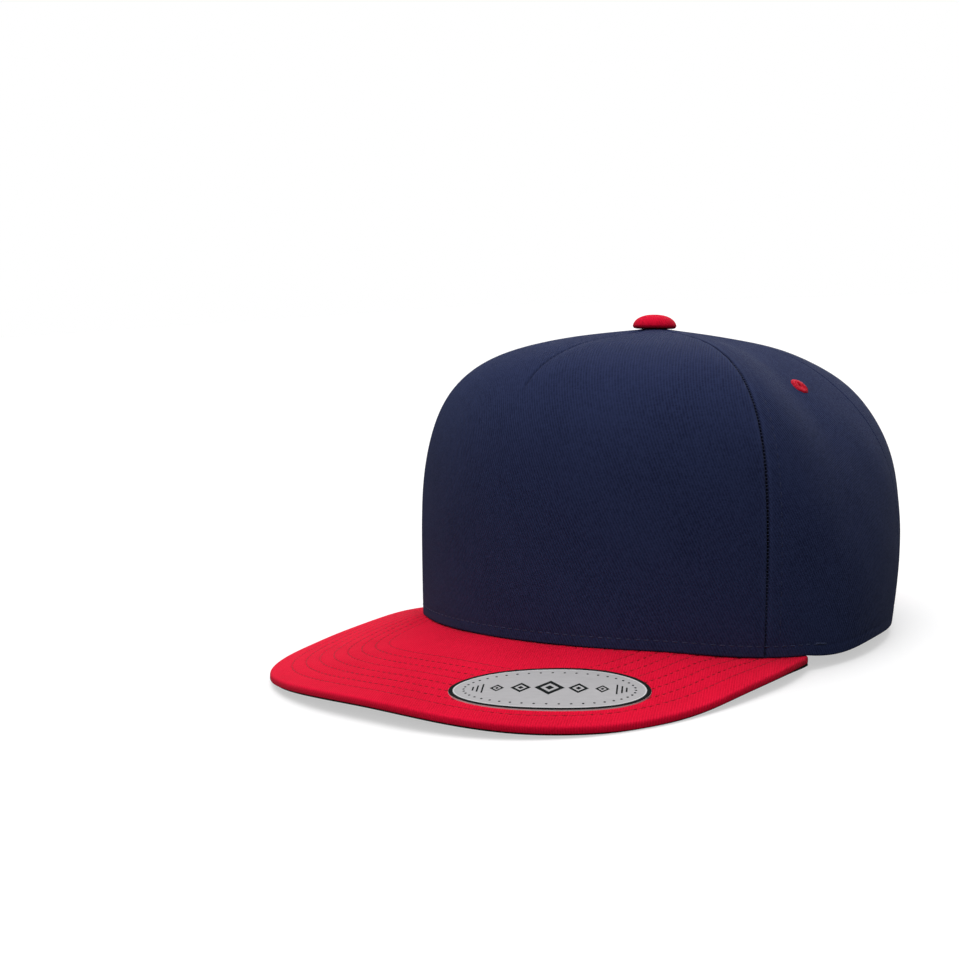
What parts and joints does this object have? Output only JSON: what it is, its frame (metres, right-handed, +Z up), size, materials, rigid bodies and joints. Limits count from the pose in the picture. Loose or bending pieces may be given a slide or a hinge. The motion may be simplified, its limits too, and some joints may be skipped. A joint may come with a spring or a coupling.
{
  "type": "snapback cap",
  "caption": "Flat-brimmed snapback cap with a navy twill crown, red visor, button and eyelets, and a red plastic snap strap under an open back arch.",
  "frame": {"origin": "middle of the cap's bounding box, on the surface that it rests on", "axes": "+Z up, visor towards -Y, +X towards the wearer's left"},
  "size_m": [0.1952, 0.2626, 0.1268],
  "materials": {
    "navy_twill": "matt navy cotton twill",
    "red_twill": "matt red cotton twill",
    "dark_twill": "matt dark green cotton twill",
    "band_cloth": "matt near-black cotton band",
    "strap_plastic": "satin moulded red plastic",
    "red_thread": "slightly glossy red embroidery thread",
    "silver_foil": "satin silver foil with black print"
  },
  "bodies": {
    "root": {"front_panel": "navy_twill", "side_panel_left": "navy_twill", "side_panel_right": "navy_twill", "back_panel_left": "navy_twill", "back_panel_right": "navy_twill", "crown_button": "red_twill", "visor": "red_twill", "under_visor": "dark_twill", "sweatband": "band_cloth", "strap_with_holes": "strap_plastic", "strap_with_pegs": "strap_plastic", "eyelet_side_left": "red_thread", "eyelet_side_right": "red_thread", "eyelet_back_left": "red_thread", "eyelet_back_right": "red_thread", "visor_sticker": "silver_foil"}
  },
  "joints": []
}
